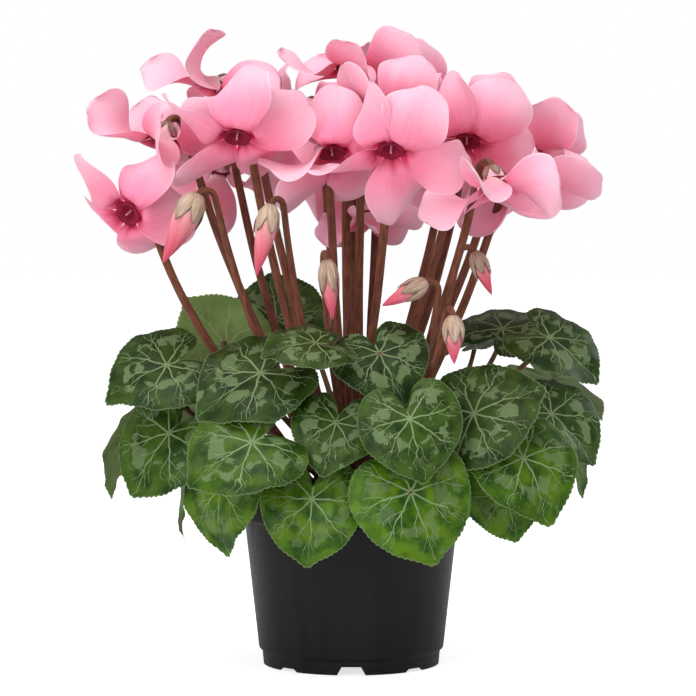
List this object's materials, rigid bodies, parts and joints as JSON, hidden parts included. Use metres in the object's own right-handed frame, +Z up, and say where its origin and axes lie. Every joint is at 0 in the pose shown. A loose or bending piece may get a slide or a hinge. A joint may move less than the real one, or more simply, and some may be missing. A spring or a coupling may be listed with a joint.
{
  "type": "potted cyclamen",
  "caption": "Pink cyclamen in a black nursery pot: hooked stalks with swept-back petals over a skirt of marbled heart-shaped leaves.",
  "frame": {"origin": "centre of the pot's foot, on the surface it stands on", "axes": "+Z up; the pictured front of the plant faces -Y, +X to its right"},
  "size_m": [0.2598, 0.2099, 0.3157],
  "materials": {
    "pot_plastic": "satin black, fine moulded grain",
    "soil": "crumbly peat, matt",
    "tuber_skin": "corky, matt",
    "leaf": "satin dark green with silver marbling",
    "petal": "soft pink, deeper at the mouth",
    "bud": "tan sepals, pink tip"
  },
  "bodies": {
    "root": {"pot": "pot_plastic", "potting_soil": "soil", "tuber": "tuber_skin", "flower_01": "petal", "flower_02": "petal", "flower_03": "petal", "flower_04": "petal", "flower_05": "petal", "flower_06": "petal", "flower_07": "petal", "flower_08": "petal", "flower_09": "petal", "flower_10": "petal", "flower_11": "petal", "flower_12": "petal", "flower_13": "petal", "flower_14": "petal", "flower_15": "petal", "flower_16": "petal", "flower_17": "petal", "flower_18": "petal", "flower_19": "petal", "bud_01": "bud", "bud_02": "bud", "bud_03": "bud", "bud_04": "bud", "bud_05": "bud", "bud_06": "bud", "leaf_01": "leaf", "leaf_02": "leaf", "leaf_03": "leaf", "leaf_04": "leaf", "leaf_05": "leaf", "leaf_06": "leaf", "leaf_07": "leaf", "leaf_08": "leaf", "leaf_09": "leaf", "leaf_10": "leaf", "leaf_11": "leaf", "leaf_12": "leaf", "leaf_13": "leaf", "leaf_14": "leaf", "leaf_15": "leaf", "leaf_16": "leaf", "leaf_17": "leaf", "leaf_18": "leaf", "leaf_19": "leaf", "leaf_20": "leaf", "leaf_21": "leaf", "leaf_22": "leaf", "leaf_23": "leaf", "leaf_24": "leaf", "leaf_25": "leaf", "leaf_26": "leaf", "leaf_27": "leaf", "leaf_28": "leaf", "leaf_29": "leaf", "leaf_30": "leaf", "leaf_31": "leaf", "leaf_32": "leaf"}
  },
  "joints": []
}
